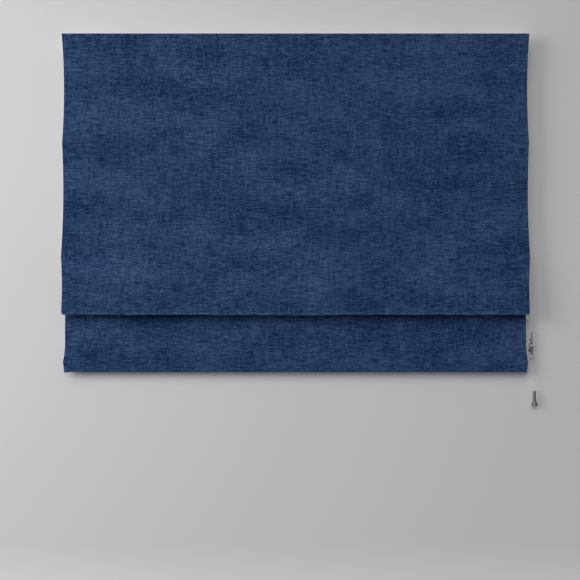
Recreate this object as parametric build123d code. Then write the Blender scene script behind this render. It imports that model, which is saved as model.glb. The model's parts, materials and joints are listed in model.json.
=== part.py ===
from build123d import *
import math
import os

# Corded roman blind for wall fixing, raised by one pleat. Millimetres.
# X runs along the headrail, +Y points into the wall and +Z up. The origin lies on the wall's
# surface, at the centre of the four bracket screws.

# Cloth, finished sizes
BLIND_WIDTH = 1200.0
TOP_PANEL = 280.0
ROD_PITCH = 293.0
PLEAT_DROP = 149.0
HEM_DROP = 148.0
CLOTH_ABOVE_RAIL = 4.0
FACE_THICKNESS = 1.0
LINING_THICKNESS = 0.5
SEWN_GAP = 0.2
SIDE_TURN = 22.0
PLEAT_REACH = 14.0
PLEAT_RADIUS = 4.0
PLEAT_CORNER = 7.0
RIDGE_RADIUS = 2.0
TURN_FLAT = 1.0
BEND_RADIUS = 60.0
FLAP_BEND = 3.0
FLAP_SLOPE = 6.0
FLAP_SEAM = 8.0

# How far the limp cloth draws in at the sides, and stands out where a rod holds it
TOP_NECK = 5.5
MIDDLE_NECK = 4.5
PLEAT_NECK = 3.0
HEM_NECK = 5.0
HEM_FLARE = 44.0
UPPER_ROD_INSET = 1.0
MIDDLE_ROD_OUTSET = 2.0
PLEAT_INSET = 0.5
BAR_OUTSET = 0.6
HEM_INSET = 3.0

# Headrail extrusion
RAIL_END_GAP = 3.0
RAIL_LENGTH = BLIND_WIDTH - 2 * RAIL_END_GAP
RAIL_DEPTH = 34.0
RAIL_HEIGHT = 32.0
RAIL_WALL = 1.4
RAIL_CORNER = 1.0
RAIL_FROM_WALL = 7.0
RAIL_LIP = 4.0
SLOT_MOUTH = 14.0
SLOT_WIDTH = 24.0
SLOT_HEIGHT = 4.0
SLOT_LIP = 1.5
CAP_PLATE = 2.0
CAP_TONGUE = 8.0
FIT_GAP = 0.2

# Hook and loop tapes
TAPE_WIDTH = 20.0
TAPE_INSET = 10.0
TAPE_BELOW_TOP = 2.0
LINING_BELOW_TAPE = 2.0
HOOK_THICKNESS = 1.2
LOOP_THICKNESS = 1.0

# Wall brackets and their turning cams
BRACKET_SPACING = 840.0
BRACKET_WIDTH = 36.0
BRACKET_SHEET = 1.5
BRACKET_REACH = 38.0
BRACKET_CORNER = 4.0
BRACKET_RIB = 4.0
BRACKET_RIB_WIDTH = 3.0
SCREW_HOLE = 4.5
SCREW_SPACING = 16.0
CAM_LENGTH = 20.0
CAM_WIDTH = 12.0
CAM_THICKNESS = 2.4
CAM_STEM = 9.0
LEVER_LENGTH = 26.0
LEVER_WIDTH = 11.0
LEVER_ARM = 8.0
LEVER_THICKNESS = 1.5
MOVING_GAP = 0.3
PIVOT_GAP = 0.08

# Cord guides, rollers and the cord lock
LIFT_INSET = 97.0
LIFT_SPACING = RAIL_LENGTH / 2 - LIFT_INSET
LIFT_CORD = 1.4
LANE_PITCH = 2.2
CORD_GAP = 0.25
DRUM_RADIUS = 5.0
FLANGE_RADIUS = 6.8
DRUM_LENGTH = 7.4
FLANGE_LENGTH = 1.0
ROLLER_PIN = 2.5
ROLLER_HEIGHT = 0.0
GUIDE_LENGTH = 30.0
GUIDE_BASE = 2.0
CHEEK_THICKNESS = 1.8
CHEEK_TOP = 4.0
EYELET_EXTRA = 1.2
NOSE_LENGTH = 14.0
NOSE_DROP = 1.4
LOCK_LEFT = 20.0
LOCK_RIGHT = 9.4
LOCK_DROP_INSET = 13.0
LOCK_PIN = 5.0
LOCK_PIN_END = 3.0
LOCK_PIN_FALL = 5.0
LOCK_TRAVEL = 4.0
LOCK_SLOPE = 55.0
KNURL_TEETH = 16
KNURL_DEPTH = 0.25

# Rods, pocket tapes, rings and the bottom bar
ROD_DIAMETER = 4.0
ROD_END_GAP = 11.0
ROD_LENGTH = BLIND_WIDTH - 2 * ROD_END_GAP
ROD_TAPE_GAP = 2.0
ROD_TAPE_SHEET = 0.5
ROD_TAPE_RISE = 10.0
ROD_POCKET_GAP = 0.3
ROD_CAP_DIAMETER = 5.2
ROD_CAP_LENGTH = 14.0
ROD_CAP_END = 2.0
ROD_TAPE_LENGTH = ROD_LENGTH - 2 * (ROD_CAP_LENGTH - ROD_CAP_END + ROD_TAPE_GAP)
ROD_BELOW_RIDGE = 13.0
RING_WIRE = 2.0
RING_OUTSIDE = 13.0
RING_GAP = 0.4
KNOT_RADIUS = 1.5
BAR_HEIGHT = 25.0
BAR_THICKNESS = 3.0
BAR_END_GAP = 15.0
BAR_LENGTH = BLIND_WIDTH - 2 * BAR_END_GAP
BAR_CAP = 6.0
BAR_CLEARANCE = 0.5
BAR_HEADROOM = 4.0

# Cord joiner, cleat, draw cord and acorn
JOINER_DROP = 736.0
JOINER_LENGTH = 26.0
JOINER_TOP = 5.8
JOINER_MOUTH = 8.6
JOINER_BORE = 4.2
JOINER_BORE_DEPTH = 11.0
JOINER_CORD_RING = 1.0
JOINER_WAIST = 6.2
DRAW_CORD = 2.0
CLEAT_OUT = 13.0
CLEAT_DROP = 802.5
CLEAT_LENGTH = 72.0
CLEAT_FOOT_LENGTH = 34.0
CLEAT_FOOT_WIDTH = 10.0
CLEAT_FOOT = 2.5
CLEAT_STEM_LENGTH = 20.0
CLEAT_STEM_WIDTH = 6.0
CLEAT_STANDOFF = 13.0
CLEAT_TIP_RISE = 3.5
CLEAT_HORN_WIDTH = 6.4
CLEAT_HORN_DEPTH = 6.0
CLEAT_SCREW_HOLE = 3.6
CLEAT_SCREW_SPACING = 11.0
CLEAT_SINK = 6.0
ACORN_OUT = 21.0
ACORN_DROP = 921.0
ACORN_FROM_WALL = 12.0
ACORN_LENGTH = 36.5
ACORN_COLLAR = 9.0
ACORN_NECK = 6.4
ACORN_MOUTH = 17.4
ACORN_WALL = 1.0
ACORN_CROWN = 5.0
ACORN_WAIST = 14.0
ACORN_KNOT = 4.0

CUT_OVERRUN = 1.0

# The share of a cord's shorter run that a corner's arc takes up
RUN_SHARE = 0.45

# Places along the cleat's horns, from tip to tip, with their thickness there
CLEAT_HORN_SHARES = (
    (-1.0, 0.30), (-0.975, 0.56), (-0.9, 0.74), (-0.5, 0.84), (0.0, 1.0),
    (0.5, 0.84), (0.9, 0.74), (0.975, 0.56), (1.0, 0.30),
)

# Worked out from the sizes above
half_width = BLIND_WIDTH / 2
rail_half = RAIL_LENGTH / 2
rod_half = ROD_LENGTH / 2
rod_tape_half = ROD_TAPE_LENGTH / 2
bar_half = BAR_LENGTH / 2
rail_top = RAIL_HEIGHT / 2
rail_back = -RAIL_FROM_WALL
rail_front = rail_back - RAIL_DEPTH
rail_middle = (rail_back + rail_front) / 2
channel_floor = RAIL_WALL - rail_top
slot_ceiling = rail_top - SLOT_LIP
slot_floor = slot_ceiling - SLOT_HEIGHT
cloth_top = rail_top + CLOTH_ABOVE_RAIL
face_y = rail_front - HOOK_THICKNESS - LOOP_THICKNESS - FACE_THICKNESS
lining_near = FACE_THICKNESS + SEWN_GAP
lining_far = lining_near + LINING_THICKNESS
tape_near = lining_far + SEWN_GAP
pocket_inside = ROD_DIAMETER / 2 + ROD_POCKET_GAP
pocket_outside = pocket_inside + ROD_TAPE_SHEET
ring_wire = RING_WIRE / 2
ring_middle = (RING_OUTSIDE - RING_WIRE) / 2
rod_offset = tape_near + pocket_outside
cord_y = face_y + rod_offset + pocket_outside + SEWN_GAP + RING_OUTSIDE / 2
upper_z = cloth_top - TOP_PANEL
middle_z = upper_z - ROD_PITCH
hanging_ring_z = middle_z - RING_WIRE - RING_GAP - ring_middle
ridge_z = hanging_ring_z - RING_OUTSIDE / 2 - SEWN_GAP - lining_far
lower_z = ridge_z - ROD_BELOW_RIDGE
pleat_z = middle_z - PLEAT_DROP
hem_z = pleat_z - HEM_DROP
tape_bottom = rail_top - TAPE_BELOW_TOP - TAPE_WIDTH
lining_top = tape_bottom - LINING_BELOW_TAPE
ridge_half = RIDGE_RADIUS + TURN_FLAT / 2
panel_y = cord_y + ridge_half
hem_width = BAR_THICKNESS + 2 * FACE_THICKNESS + 2 * BAR_CLEARANCE
hem_radius = (hem_width - TURN_FLAT) / 2
pocket_top = hem_z + FACE_THICKNESS + BAR_HEIGHT + BAR_HEADROOM
flap_top = pocket_top + FLAP_SLOPE + FLAP_SEAM
bar_z = hem_z + FACE_THICKNESS + BAR_CLEARANCE + BAR_HEIGHT / 2
bar_y = panel_y + hem_width / 2
wrap_radius = DRUM_RADIUS + CORD_GAP + LIFT_CORD / 2
run_z = ROLLER_HEIGHT + wrap_radius
roller_half = DRUM_LENGTH / 2 + FLANGE_LENGTH
drop_x = rail_half - LOCK_DROP_INSET
lift_columns = {"left": -LIFT_SPACING, "centre": 0.0, "right": LIFT_SPACING}
lanes = {"left": cord_y - LANE_PITCH, "centre": cord_y, "right": cord_y + LANE_PITCH}
cleat_x = half_width + CLEAT_OUT
cleat_z = cloth_top - CLEAT_DROP


# Helpers for solids that run along one axis
def along_x(profile, left, right):
    """A profile drawn in Y and Z, drawn out from left to right."""
    return extrude(Plane.YZ.offset(left) * profile, right - left)


def along_y(profile, front, back):
    """A profile drawn in X and Z, drawn out from front to back."""
    return extrude(Plane.XZ.offset(-back) * profile, back - front)


def along_z(profile, bottom, top):
    """A profile drawn in X and Y, drawn out from bottom to top."""
    return extrude(Plane.XY.offset(bottom) * profile, top - bottom)


def block(low_u, low_v, high_u, high_v):
    """A rectangle between two corners."""
    place = Pos((low_u + high_u) / 2, (low_v + high_v) / 2)
    return place * Rectangle(high_u - low_u, high_v - low_v)


# Helpers for folded sheets: a route is a list of (y, z, corner radius)
def turned_left(first, second):
    """Signed sine of the turn from one direction to the next, positive to the left."""
    return first[0] * second[1] - first[1] * second[0]


def shifted(route, shift):
    """The route moved to its left by shift, with its corner radii changed to match."""
    steps = [(b[0] - a[0], b[1] - a[1]) for a, b in zip(route, route[1:])]
    ways = [(u / math.hypot(u, v), v / math.hypot(u, v)) for u, v in steps]
    ways = [ways[0]] + ways + [ways[-1]]
    moved = []
    for (y, z, radius), came, goes in zip(route, ways, ways[1:]):
        normal = (-came[1] - goes[1], came[0] + goes[0])
        scale = shift / (1 + came[0] * goes[0] + came[1] * goes[1])
        turn = turned_left(came, goes)
        moved.append((y + normal[0] * scale, z + normal[1] * scale, radius - math.copysign(shift, turn)))
    return moved


def rounded(route):
    """The route as lines and tangent arcs."""
    points = [(y, z) for y, z, _ in route]
    return FilletPolyline(*points, radius=[radius for _, _, radius in route[1:-1]])


def ribbon(route, near, far):
    """The closed section of a sheet that lies between two distances from a route."""
    front = rounded(shifted(route, near))
    back = rounded(shifted(route, far))
    ends = [Line(front @ 0, back @ 0), Line(front @ 1, back @ 1)]
    return make_face(front.edges() + back.edges() + ends)


# Headrail, its end caps and tapes
def rail_outline():
    """The headrail's outer rectangle, with rounded corners."""
    return Pos(rail_middle, 0) * RectangleRounded(RAIL_DEPTH, RAIL_HEIGHT, RAIL_CORNER)


def headrail():
    """Extrusion with a cord channel open below and a lipped slot on top."""
    inner_front = rail_front + RAIL_WALL
    inner_back = rail_back - RAIL_WALL
    channel = block(inner_front, channel_floor, inner_back, slot_floor - RAIL_WALL)
    mouth = block(inner_front + RAIL_LIP, -rail_top - CUT_OVERRUN, inner_back - RAIL_LIP, channel_floor)
    slot_front = rail_middle - SLOT_WIDTH / 2
    slot_back = rail_middle + SLOT_WIDTH / 2
    slot = block(slot_front, slot_floor, slot_back, slot_ceiling)
    slot_mouth = block(
        rail_middle - SLOT_MOUTH / 2, slot_ceiling, rail_middle + SLOT_MOUTH / 2, rail_top + CUT_OVERRUN
    )
    ledge = slot_floor
    front_hollow = block(inner_front, ledge, slot_front - RAIL_WALL, rail_top - RAIL_WALL)
    back_hollow = block(slot_back + RAIL_WALL, ledge, inner_back, rail_top - RAIL_WALL)
    profile = rail_outline() - channel - mouth - slot - slot_mouth - front_hollow - back_hollow
    return along_x(profile, -rail_half, rail_half)


def end_cap(side):
    """Plate over the headrail's end, with a tongue in the top slot; side is -1 or 1."""
    plate_face = side * rail_half
    plate_end = side * (rail_half + CAP_PLATE)
    plate = along_x(rail_outline(), min(plate_face, plate_end), max(plate_face, plate_end))
    tongue_profile = Pos(rail_middle, (slot_floor + slot_ceiling) / 2) * Rectangle(
        SLOT_WIDTH - 2 * FIT_GAP, SLOT_HEIGHT - 2 * FIT_GAP
    )
    tongue_end = side * (rail_half - CAP_TONGUE)
    tongue = along_x(tongue_profile, min(plate_face, tongue_end), max(plate_face, tongue_end))
    return plate + tongue


def tape(front, back):
    """A straight strip along the headrail's front."""
    reach = rail_half - TAPE_INSET
    return along_x(block(front, tape_bottom, back, tape_bottom + TAPE_WIDTH), -reach, reach)


# Brackets and cams
def bracket(x):
    """Bent steel bracket: a back leg on the wall and a top leg over the headrail."""
    half = BRACKET_WIDTH / 2
    top = rail_top + BRACKET_SHEET
    leg_outline = Pos(x, 0) * block(-half, -rail_top, half, top)
    leg_outline = fillet(leg_outline.vertices().group_by(Axis.Y)[0], BRACKET_CORNER)
    leg = along_y(leg_outline, -BRACKET_SHEET, 0)
    shelf_outline = Pos(x, 0) * block(-half, -BRACKET_REACH, half, 0)
    shelf_outline = fillet(shelf_outline.vertices().group_by(Axis.Y)[0], BRACKET_CORNER)
    shelf = along_z(shelf_outline, rail_top, top)
    rib_profile = Polyline(
        (-BRACKET_SHEET, rail_top), (-BRACKET_SHEET - BRACKET_RIB, rail_top),
        (-BRACKET_SHEET, rail_top - BRACKET_RIB), close=True,
    )
    rib_half = BRACKET_RIB_WIDTH / 2
    ribs = [
        along_x(make_face(rib_profile), centre - rib_half, centre + rib_half)
        for centre in (x - half + 2 * BRACKET_CORNER, x + half - 2 * BRACKET_CORNER)
    ]
    body = leg + shelf + ribs
    for z in (-SCREW_SPACING / 2, SCREW_SPACING / 2):
        hole = Pos(x, z) * Circle(SCREW_HOLE / 2)
        body -= along_y(hole, -BRACKET_SHEET - CUT_OVERRUN, CUT_OVERRUN)
    pivot = Pos(x, rail_middle) * Circle(CAM_STEM / 2 + PIVOT_GAP)
    return body - along_z(pivot, rail_top - CUT_OVERRUN, top + CUT_OVERRUN)


def bracket_cam(x):
    """Oval cam under the slot's lips, its stem through the bracket and its lever on top."""
    cam_top = slot_ceiling - MOVING_GAP
    lever_bottom = rail_top + BRACKET_SHEET + MOVING_GAP
    place = Pos(x, rail_middle)
    cam = along_z(place * Rot(0, 0, 90) * SlotOverall(CAM_LENGTH, CAM_WIDTH), cam_top - CAM_THICKNESS, cam_top)
    stem = along_z(place * Circle(CAM_STEM / 2), cam_top, lever_bottom)
    hub = along_z(place * Circle(LEVER_WIDTH / 2), lever_bottom, lever_bottom + LEVER_THICKNESS)
    reach = LEVER_LENGTH - (LEVER_WIDTH + LEVER_ARM) / 2
    arm_outline = Pos(reach / 2, 0) * SlotCenterToCenter(reach, LEVER_ARM)
    arm = along_z(place * arm_outline, lever_bottom, lever_bottom + LEVER_THICKNESS)
    return cam + stem + hub + arm


# Rollers, guides and the cord lock
def roller(x):
    """Flanged drum that the cords turn over, bored for its pin."""
    front = cord_y - roller_half
    back = cord_y + roller_half
    drum = along_y(Pos(x, ROLLER_HEIGHT) * Circle(DRUM_RADIUS), front, back)
    disc = Pos(x, ROLLER_HEIGHT) * Circle(FLANGE_RADIUS)
    drum += along_y(disc, front, front + FLANGE_LENGTH)
    drum += along_y(disc, back - FLANGE_LENGTH, back)
    bore = Pos(x, ROLLER_HEIGHT) * Circle(ROLLER_PIN / 2 + PIVOT_GAP)
    return drum - along_y(bore, front - CUT_OVERRUN, back + CUT_OVERRUN)


def cheek_faces():
    """Front and back places of the two cheeks beside a roller."""
    inside = roller_half + MOVING_GAP
    outside = inside + CHEEK_THICKNESS
    return [(cord_y - outside, cord_y - inside), (cord_y + inside, cord_y + outside)]


def roller_pin(x):
    """Plain steel pin through both cheeks."""
    front = cheek_faces()[0][0]
    back = cheek_faces()[1][1]
    return along_y(Pos(x, ROLLER_HEIGHT) * Circle(ROLLER_PIN / 2), front, back)


def cradle(left, right, nose_x, nose_length):
    """Base plate that sits on the channel's lips, with a nose down through its mouth."""
    front = rail_front + RAIL_WALL + FIT_GAP
    back = rail_back - RAIL_WALL - FIT_GAP
    base = along_z(block(left, front, right, back), channel_floor, channel_floor + GUIDE_BASE)
    lane_span = 2 * LANE_PITCH + LIFT_CORD + 2 * EYELET_EXTRA
    nose_outline = Pos(nose_x, cord_y) * RectangleRounded(nose_length, lane_span + 2 * EYELET_EXTRA, EYELET_EXTRA)
    nose = along_z(nose_outline, -rail_top - NOSE_DROP, channel_floor)
    return base + nose


def eyelet(x, width):
    """Cutter for the slot that the cords pass down through."""
    lane_span = 2 * LANE_PITCH + LIFT_CORD + 2 * EYELET_EXTRA
    outline = Pos(x, cord_y) * RectangleRounded(width, lane_span, LIFT_CORD / 2)
    return along_z(outline, -rail_top - NOSE_DROP - CUT_OVERRUN, channel_floor + GUIDE_BASE + CUT_OVERRUN)


def cord_guide(column):
    """Moulded cradle with two round-topped cheeks and a cord eyelet."""
    centre = column + wrap_radius
    body = cradle(centre - GUIDE_LENGTH / 2, centre + GUIDE_LENGTH / 2, column, NOSE_LENGTH)
    foot = channel_floor + GUIDE_BASE
    cheek = block(centre - FLANGE_RADIUS, foot, centre + FLANGE_RADIUS, ROLLER_HEIGHT)
    cheek += Pos(centre, ROLLER_HEIGHT) * Circle(CHEEK_TOP)
    wing = GUIDE_LENGTH / 2 - CHEEK_THICKNESS
    web = Polyline((centre - wing, foot), (centre, ROLLER_HEIGHT), (centre + wing, foot), close=True)
    cheek += make_face(web)
    for front, back in cheek_faces():
        body += along_y(cheek, front, back)
    bore = Pos(centre, ROLLER_HEIGHT) * Circle(ROLLER_PIN / 2)
    body -= along_y(bore, rail_front, rail_back)
    return body - eyelet(column, LIFT_CORD + 2 * EYELET_EXTRA)


def pulled_cords_x(z):
    """Where the cords that run down to the joiner pass a height."""
    start, way = pull_line()
    return start.X + way.X * (z - start.Z) / way.Z


def lock_pin_place():
    """Where the lock pin's axis lies at rest, against the cords, and the way that it slides."""
    z = ROLLER_HEIGHT - LOCK_PIN_FALL
    x = pulled_cords_x(z) + LIFT_CORD / 2 + MOVING_GAP + LOCK_PIN / 2
    slope = math.radians(LOCK_SLOPE)
    return x, z, (math.cos(slope), math.sin(slope))


def cord_lock():
    """Moulded lock body: two tall cheeks with a pin bore and a slanted slot, on a base."""
    centre = drop_x - wrap_radius
    left = drop_x - LOCK_LEFT
    right = drop_x + LOCK_RIGHT
    body = cradle(left, right, drop_x, NOSE_LENGTH)
    foot = channel_floor + GUIDE_BASE
    cheek = block(centre - FLANGE_RADIUS, foot, right, ROLLER_HEIGHT + CHEEK_TOP)
    web = Polyline(
        (left, foot), (centre - FLANGE_RADIUS, ROLLER_HEIGHT), (centre - FLANGE_RADIUS, foot), close=True
    )
    cheek += make_face(web)
    pin_x, pin_z, way = lock_pin_place()
    middle = Pos(pin_x + way[0] * LOCK_TRAVEL / 2, pin_z + way[1] * LOCK_TRAVEL / 2)
    slot = middle * Rot(0, 0, LOCK_SLOPE) * SlotCenterToCenter(LOCK_TRAVEL, LOCK_PIN_END + 2 * MOVING_GAP)
    cheek -= slot
    cheek -= Pos(centre, ROLLER_HEIGHT) * Circle(ROLLER_PIN / 2)
    for front, back in cheek_faces():
        body += along_y(cheek, front, back)
    enter = pulled_cords_x(foot)
    leave = pulled_cords_x(-rail_top - NOSE_DROP)
    return body - eyelet((enter + leave) / 2, LIFT_CORD + 2 * EYELET_EXTRA + abs(leave - enter))


def lock_pin():
    """Knurled pin between the cheeks, with plain ends that slide in their slots."""
    x, z, _ = lock_pin_place()
    step = math.pi / KNURL_TEETH
    rim = [
        (LOCK_PIN / 2 - KNURL_DEPTH * (index % 2), index * step) for index in range(2 * KNURL_TEETH)
    ]
    points = [(x + radius * math.cos(angle), z + radius * math.sin(angle)) for radius, angle in rim]
    grip = along_y(make_face(Polyline(*points, close=True)), cord_y - roller_half, cord_y + roller_half)
    front = cheek_faces()[0][0]
    back = cheek_faces()[1][1]
    return grip + along_y(Pos(x, z) * Circle(LOCK_PIN_END / 2), front, back)


# Face cloth and lining
def face_routes():
    """Routes of the cloth's visible side: down to the ridge, and from the ridge to the hem's flap."""
    pleat_y = face_y - PLEAT_REACH
    pleat_back = pleat_y + 2 * PLEAT_RADIUS + TURN_FLAT
    down = [
        (face_y, cloth_top, 0),
        (face_y, middle_z, BEND_RADIUS),
        (pleat_y, pleat_z, PLEAT_RADIUS),
        (pleat_back, pleat_z, PLEAT_RADIUS),
        (cord_y - ridge_half, ridge_z, RIDGE_RADIUS),
        (cord_y, ridge_z, 0),
    ]
    flap_y = panel_y + 2 * FACE_THICKNESS + SEWN_GAP
    up = [
        (cord_y, ridge_z, 0),
        (panel_y, ridge_z, RIDGE_RADIUS),
        (panel_y, hem_z, hem_radius),
        (panel_y + hem_width, hem_z, hem_radius),
        (panel_y + hem_width, pocket_top, FLAP_BEND),
        (flap_y, pocket_top + FLAP_SLOPE, FLAP_BEND),
        (flap_y, flap_top, 0),
    ]
    return down, up


def backing_routes():
    """The stretches of both routes that the lining and the side turn-ins cover."""
    down, up = face_routes()
    covered_down = [(face_y, lining_top, 0)] + down[1:]
    covered_up = up[:2] + [(panel_y, flap_top + SEWN_GAP, 0)]
    return covered_down, covered_up


def bowed(start, end, neck):
    """An arc between two points of a side edge, drawn in by neck at its middle."""
    middle = ((start[0] + end[0]) / 2 - neck, (start[1] + end[1]) / 2)
    return ThreePointArc(start, middle, end)


def both_sides(edges):
    """A closed outline from the edges of its right side, from top to bottom."""
    top = edges[0] @ 0
    bottom = edges[-1] @ 1
    mirrored = [mirror(edge, about=Plane.YZ) for edge in edges]
    rungs = [Line((-top.X, top.Y), (top.X, top.Y)), Line((-bottom.X, bottom.Y), (bottom.X, bottom.Y))]
    return make_face(edges + mirrored + rungs)


def upper_outline():
    """Front outline of the panels and the pleat, drawn in between the rods."""
    top = (half_width, cloth_top)
    upper = (half_width - UPPER_ROD_INSET, upper_z)
    middle = (half_width + MIDDLE_ROD_OUTSET, middle_z)
    pleat_x = half_width - PLEAT_INSET
    pleat = (pleat_x, pleat_z + PLEAT_CORNER)
    round_off = PLEAT_CORNER * (1 - math.sqrt(2) / 2)
    corner = ThreePointArc(
        pleat, (pleat_x - round_off, pleat_z + round_off), (pleat_x - PLEAT_CORNER, pleat_z)
    )
    return both_sides([
        bowed(top, upper, TOP_NECK), bowed(upper, middle, MIDDLE_NECK), bowed(middle, pleat, PLEAT_NECK), corner
    ])


def hem_outline():
    """Front outline of the hem panel: drawn in below the pleat, then out to the bar's upper edge."""
    ridge_top = ridge_z + lining_far + SEWN_GAP
    bar_top = bar_z + BAR_HEIGHT / 2
    top = (half_width, ridge_top + FACE_THICKNESS)
    drawn = (half_width - HEM_NECK, pleat_z)
    waist = (half_width - HEM_NECK, bar_top + HEM_FLARE)
    bar = (half_width + BAR_OUTSET, bar_top)
    bottom = (half_width - HEM_INSET, hem_z)
    return both_sides([
        bowed(top, drawn, HEM_NECK / 4), Line(drawn, waist), TangentArc(waist, bar, tangent=(0, -1)),
        Line(bar, bottom),
    ])


def face_fabric():
    """The folded face cloth, with thickened side turn-ins, as one sheet."""
    reach = half_width + MIDDLE_ROD_OUTSET
    sheets = []
    for route, covered, outline in zip(face_routes(), backing_routes(), (upper_outline(), hem_outline())):
        sheet = along_x(ribbon(route, 0, FACE_THICKNESS), -reach, reach)
        turn_in = ribbon(covered, 0, 2 * FACE_THICKNESS)
        inner = half_width - SIDE_TURN
        sheet += along_x(turn_in, -reach, -inner)
        sheet += along_x(turn_in, inner, reach)
        sheets.append(sheet & along_y(outline, face_y - PLEAT_REACH - CUT_OVERRUN, 0))
    return sheets[0] + sheets[1]


def lining():
    """The lining behind the face, between the side turn-ins."""
    covered_down, covered_up = backing_routes()
    route = covered_down[:-1] + covered_up[1:]
    reach = half_width - SIDE_TURN - SEWN_GAP
    return along_x(ribbon(route, lining_near, lining_far), -reach, reach)


# Rods, their pockets, caps and rings
def rod_places():
    """Axis of each rod in Y and Z."""
    return {
        "upper": (face_y + rod_offset, upper_z),
        "middle": (face_y + rod_offset, middle_z),
        "lower": (panel_y + rod_offset, lower_z),
    }


def rod(y, z):
    """Round fibreglass rod."""
    return along_x(Pos(y, z) * Circle(ROD_DIAMETER / 2), -rod_half, rod_half)


def rod_tape(y, z):
    """Woven pocket round a rod, with the flat edge that is sewn to the lining."""
    pocket = Circle(pocket_outside) + block(-pocket_outside, 0, ROD_TAPE_SHEET - pocket_outside, ROD_TAPE_RISE)
    profile = Pos(y, z) * (pocket - Circle(pocket_inside))
    return along_x(profile, -rod_tape_half, rod_tape_half)


def rod_cap(side, y, z):
    """Moulded cap over one end of a rod, rounded at its closed end; side is -1 or 1."""
    closed = rod_half + ROD_CAP_END
    outside = ROD_CAP_DIAMETER / 2
    half_section = make_face([
        Line((closed - ROD_CAP_LENGTH, 0), (closed - ROD_CAP_LENGTH, outside)),
        Line((closed - ROD_CAP_LENGTH, outside), (closed - ROD_CAP_END, outside)),
        Line((closed - ROD_CAP_END, outside), (closed, outside - ROD_CAP_END)),
        Line((closed, outside - ROD_CAP_END), (closed, 0)),
        Line((closed, 0), (closed - ROD_CAP_LENGTH, 0)),
    ])
    cap = revolve(half_section, Axis.X)
    bore = along_x(Circle(ROD_DIAMETER / 2), closed - ROD_CAP_LENGTH - CUT_OVERRUN, rod_half)
    cap -= bore
    turned = cap if side > 0 else mirror(cap, about=Plane.YZ)
    return Pos(0, y, z) * turned


def cord_rings():
    """Nine wire rings: level ones on two rods, and hanging ones on the ridge."""
    rings = []
    for name, x in lift_columns.items():
        for z in (upper_z, middle_z):
            rings.append(Pos(x, cord_y, z) * Torus(ring_middle, ring_wire))
        rings.append(Pos(x, lanes[name], hanging_ring_z) * Rot(90, 0, 0) * Torus(ring_middle, ring_wire))
    return rings


def bottom_bar():
    """Flat bar in the hem's pocket."""
    profile = Pos(bar_y, bar_z) * Rectangle(BAR_THICKNESS, BAR_HEIGHT)
    return along_x(profile, -bar_half, bar_half)


def bar_cap(side):
    """End piece of the bottom bar, rounded at its corners; side is -1 or 1."""
    outline = Pos(side * (bar_half + BAR_CAP / 2), bar_z) * Rectangle(BAR_CAP, BAR_HEIGHT)
    outer_corners = outline.vertices().sort_by(Axis.X, reverse=side > 0)[:2]
    outline = fillet(outer_corners, BAR_CAP / 2)
    return along_y(outline, bar_y - BAR_THICKNESS / 2, bar_y + BAR_THICKNESS / 2)


# Cords, joiner, cleat and acorn
def pull_line():
    """Start and direction of the straight pull from the cord lock to the cleat."""
    start = Vector(drop_x, cord_y, run_z)
    end = Vector(*wound_points()[0])
    return start, (end - start).normalized()


def joiner_bottom():
    """The middle of the joiner's mouth, on the pull line."""
    start, way = pull_line()
    return start + way * ((start.Z - cloth_top + JOINER_DROP) / -way.Z)


def cord_joiner():
    """Moulded joiner that flares to its mouth, bored for three cords above and one below."""
    _, way = pull_line()
    neck = JOINER_TOP / 2
    mouth = JOINER_MOUTH / 2
    outline = make_face([
        Line((0, 0), (mouth, 0)),
        ThreePointArc((mouth, 0), (JOINER_WAIST / 2, JOINER_LENGTH / 2), (neck, JOINER_LENGTH)),
        Line((neck, JOINER_LENGTH), (0, JOINER_LENGTH)),
        Line((0, JOINER_LENGTH), (0, 0)),
    ])
    body = revolve(Plane.XZ * outline, Axis.Z)
    body -= along_z(Circle(JOINER_BORE / 2), JOINER_LENGTH - JOINER_BORE_DEPTH, JOINER_LENGTH + CUT_OVERRUN)
    body -= along_z(Circle(DRAW_CORD / 2), -CUT_OVERRUN, JOINER_BORE_DEPTH)
    return Plane(joiner_bottom(), x_dir=(0, 1, 0), z_dir=-way) * body


def tube(path, diameter):
    """A round cord along a path."""
    return sweep(Plane(path @ 0, z_dir=path % 0) * Circle(diameter / 2), path=path)


def lift_cord(name):
    """Lift cord: tied to its hanging ring, up, over its roller, along the rail and down to the joiner."""
    x = lift_columns[name]
    lane = lanes[name]
    ring_top = hanging_ring_z + ring_middle
    loop_radius = ring_wire + CORD_GAP + LIFT_CORD / 2
    tie = ring_top + loop_radius
    _, way = pull_line()
    seat = joiner_bottom() - way * (JOINER_LENGTH - JOINER_BORE_DEPTH + FIT_GAP)
    turn = math.radians({"left": 245, "centre": 0, "right": 115}[name])
    seat += Vector(math.cos(turn), math.sin(turn), 0) * JOINER_CORD_RING
    path = FilletPolyline((x, lane, tie), (x, lane, run_z), (drop_x, lane, run_z), seat, radius=wrap_radius)
    cord = tube(path, LIFT_CORD)
    loop = Pos(x, lane, ring_top) * Rot(0, 90, 0) * Torus(loop_radius, LIFT_CORD / 2)
    return cord + loop + Pos(x, lane, tie + LIFT_CORD) * Sphere(KNOT_RADIUS)


def cleat_point(out, from_wall, up):
    """A point beside the cleat, measured from the middle of its foot."""
    return (cleat_x + out, -from_wall, cleat_z + up)


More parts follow.
